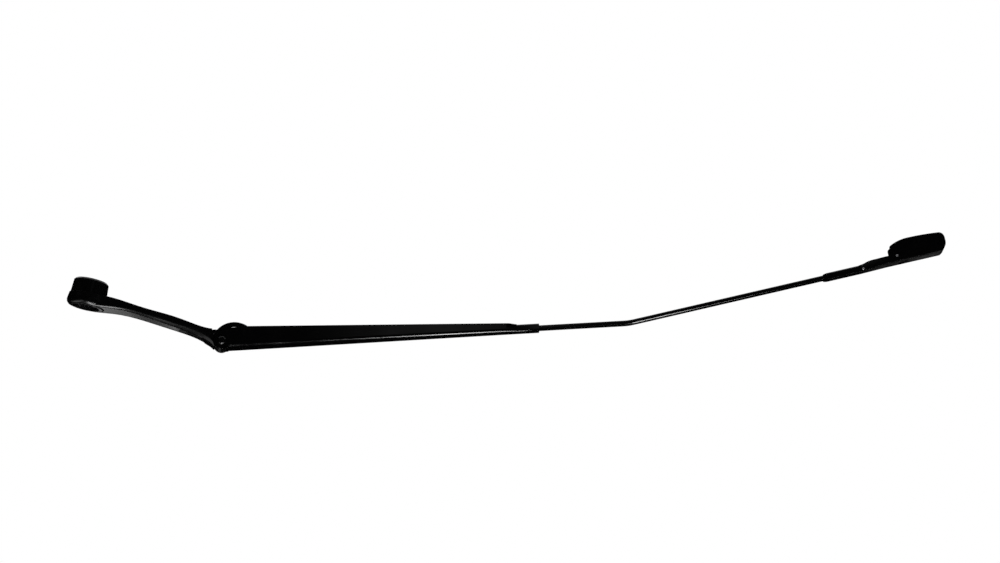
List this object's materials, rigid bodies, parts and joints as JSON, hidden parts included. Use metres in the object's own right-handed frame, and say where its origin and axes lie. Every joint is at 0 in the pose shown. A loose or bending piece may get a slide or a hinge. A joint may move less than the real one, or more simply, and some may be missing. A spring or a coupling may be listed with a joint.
{
  "type": "windscreen wiper arm",
  "caption": "Windscreen wiper arm: cast spindle head, sprung hinge, tapered sheet-steel channel, flat bar with a bend, and a stamped bracket that takes the blade.",
  "frame": {"origin": "centre of the stud hole in the head's boss", "axes": "+Z outward along the spindle, away from the glass; +X along the arm to its tip; +Y to the side that faces the viewer in the picture"},
  "size_m": [0.6108, 0.0296, 0.1984],
  "materials": {
    "head_paint": "satin black paint on a die casting",
    "channel_paint": "satin black paint on folded sheet",
    "rod_paint": "satin black paint on flat bar",
    "bracket_paint": "satin black paint on stamped sheet",
    "link_paint": "black coating on a steel strap",
    "pin_steel": "dull steel",
    "spring_steel": "oiled spring wire",
    "bush_bronze": "plain bearing bronze",
    "washer_plastic": "dull black plastic"
  },
  "bodies": {
    "head": {"mounting_head": "head_paint", "pivot_bush_near": "bush_bronze", "pivot_bush_far": "bush_bronze", "link_pin": "pin_steel"},
    "arm": {"retainer_channel": "channel_paint", "arm_rod": "rod_paint", "blade_bracket": "bracket_paint", "pivot_pin": "pin_steel", "hinge_washer_near": "washer_plastic", "hinge_washer_far": "washer_plastic", "tension_spring": "spring_steel"},
    "link": {"spring_link": "link_paint"}
  },
  "joints": [
    {"name": "arm_lift", "type": "hinge", "parent": "head", "child": "arm", "pos_m": [0.101, 0, 0.0103], "axis": [0, -1, 0], "range_deg": [0, 60], "stiffness_Nm_per_rad": 0.9, "springref_deg": -85.94, "deforming": ["tension_spring"]},
    {"name": "link_swing", "type": "hinge", "parent": "head", "child": "link", "pos_m": [0.09556, 0, 0.00656], "axis": [0, -1, 0], "range_deg": [0, 58]}
  ],
  "couplings": [
    {"joint": "link_swing", "follows": "arm_lift", "ratio": 0.95}
  ]
}
